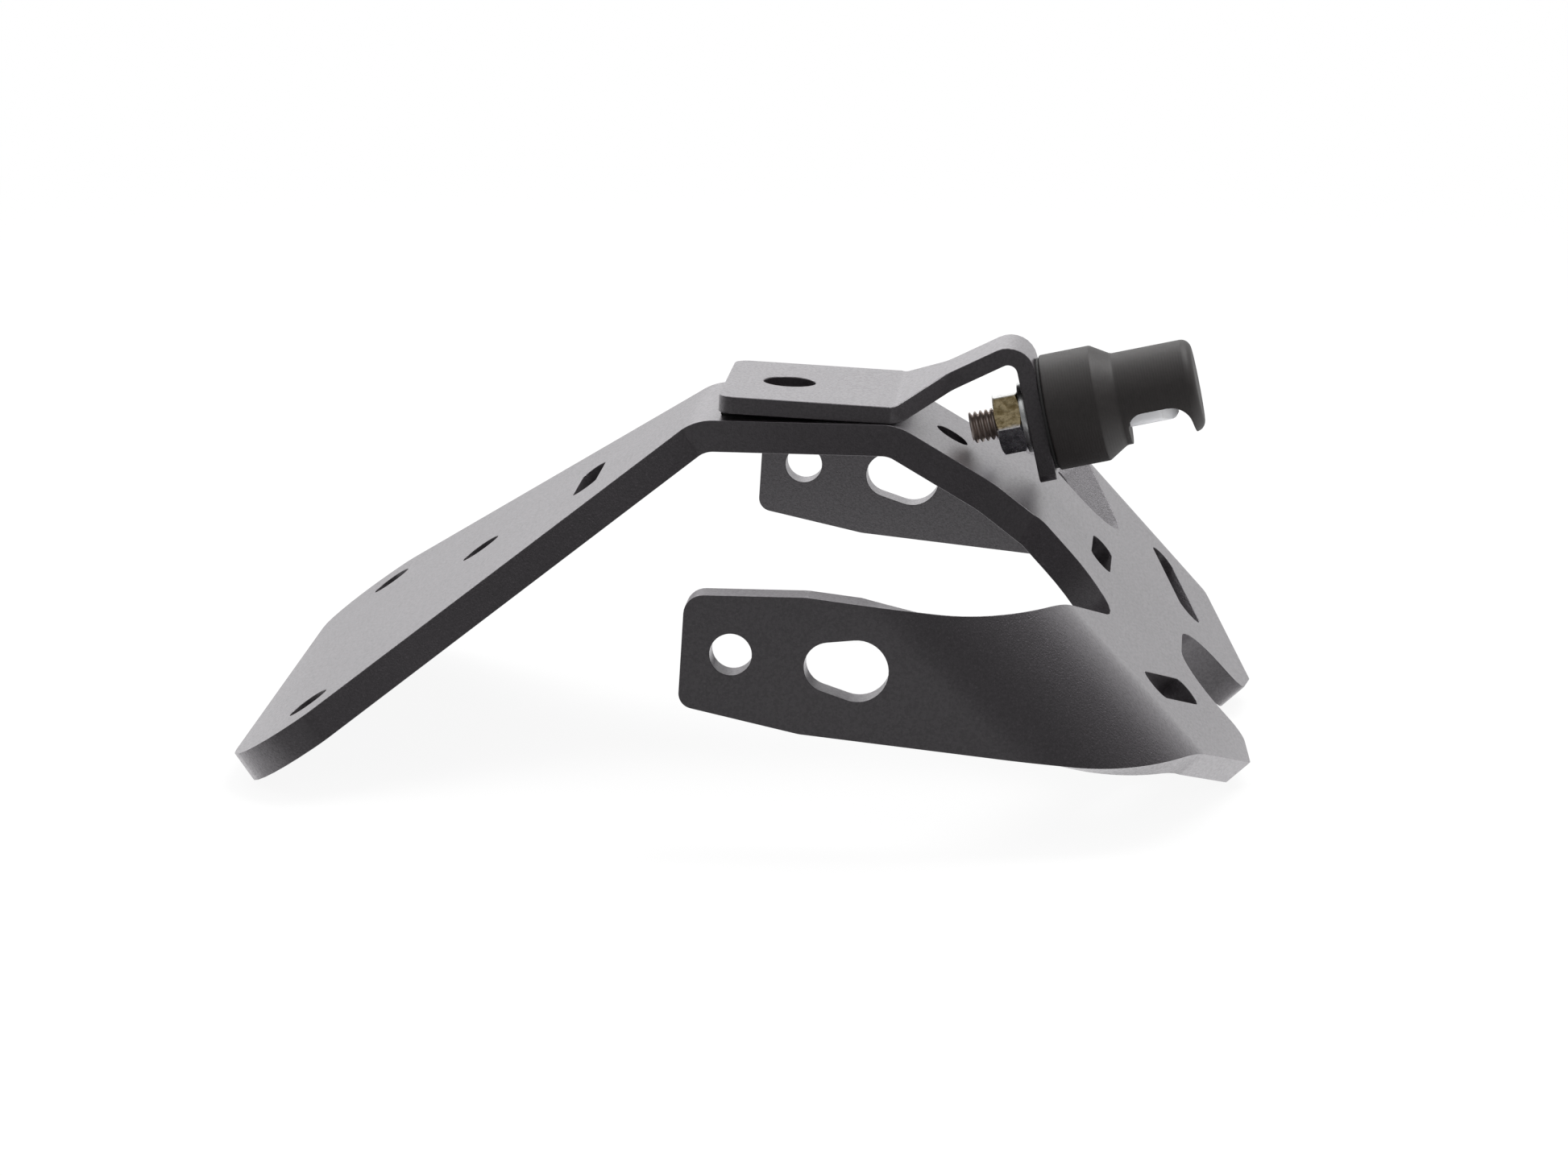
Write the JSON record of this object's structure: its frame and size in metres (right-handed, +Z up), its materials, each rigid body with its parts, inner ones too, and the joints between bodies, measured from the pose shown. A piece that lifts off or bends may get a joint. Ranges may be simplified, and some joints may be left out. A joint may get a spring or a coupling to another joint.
{
  "type": "license plate holder",
  "caption": "Folded sheet metal license plate holder for a motorcycle, with a wide sloping plate panel, two side arms that bolt to the tail, and a bracket that carries a small plate lamp.",
  "frame": {"origin": "centre of the footprint on the surface that the holder stands on, at its lowest point", "axes": "+X from the panel's lower edge to the prongs and the lamp, +Z up from the surface, +Y across the holder"},
  "size_m": [0.125, 0.119, 0.0516],
  "materials": {
    "black_powder_coat": "fine-textured satin black powder coat",
    "black_foam": "matte closed-cell foam",
    "black_rubber": "matte",
    "black_lamp": "smooth matte black",
    "clear_lens": "clear to milky, glossy",
    "circuit_board": "matte green",
    "led": "glossy phosphor",
    "dark_steel": "dark oxidised steel",
    "zinc_steel": "bright zinc",
    "yellow_zinc_steel": "yellow zinc plating"
  },
  "bodies": {
    "root": {"main_plate": "black_powder_coat", "light_bracket": "black_powder_coat", "bracket_pad": "black_foam", "lamp_gasket": "black_rubber", "lamp_housing": "black_lamp", "lamp_lens": "clear_lens", "lamp_board": "circuit_board", "lamp_led": "led", "lamp_stud": "dark_steel", "lamp_washer": "zinc_steel", "lamp_nut": "yellow_zinc_steel"}
  },
  "joints": []
}
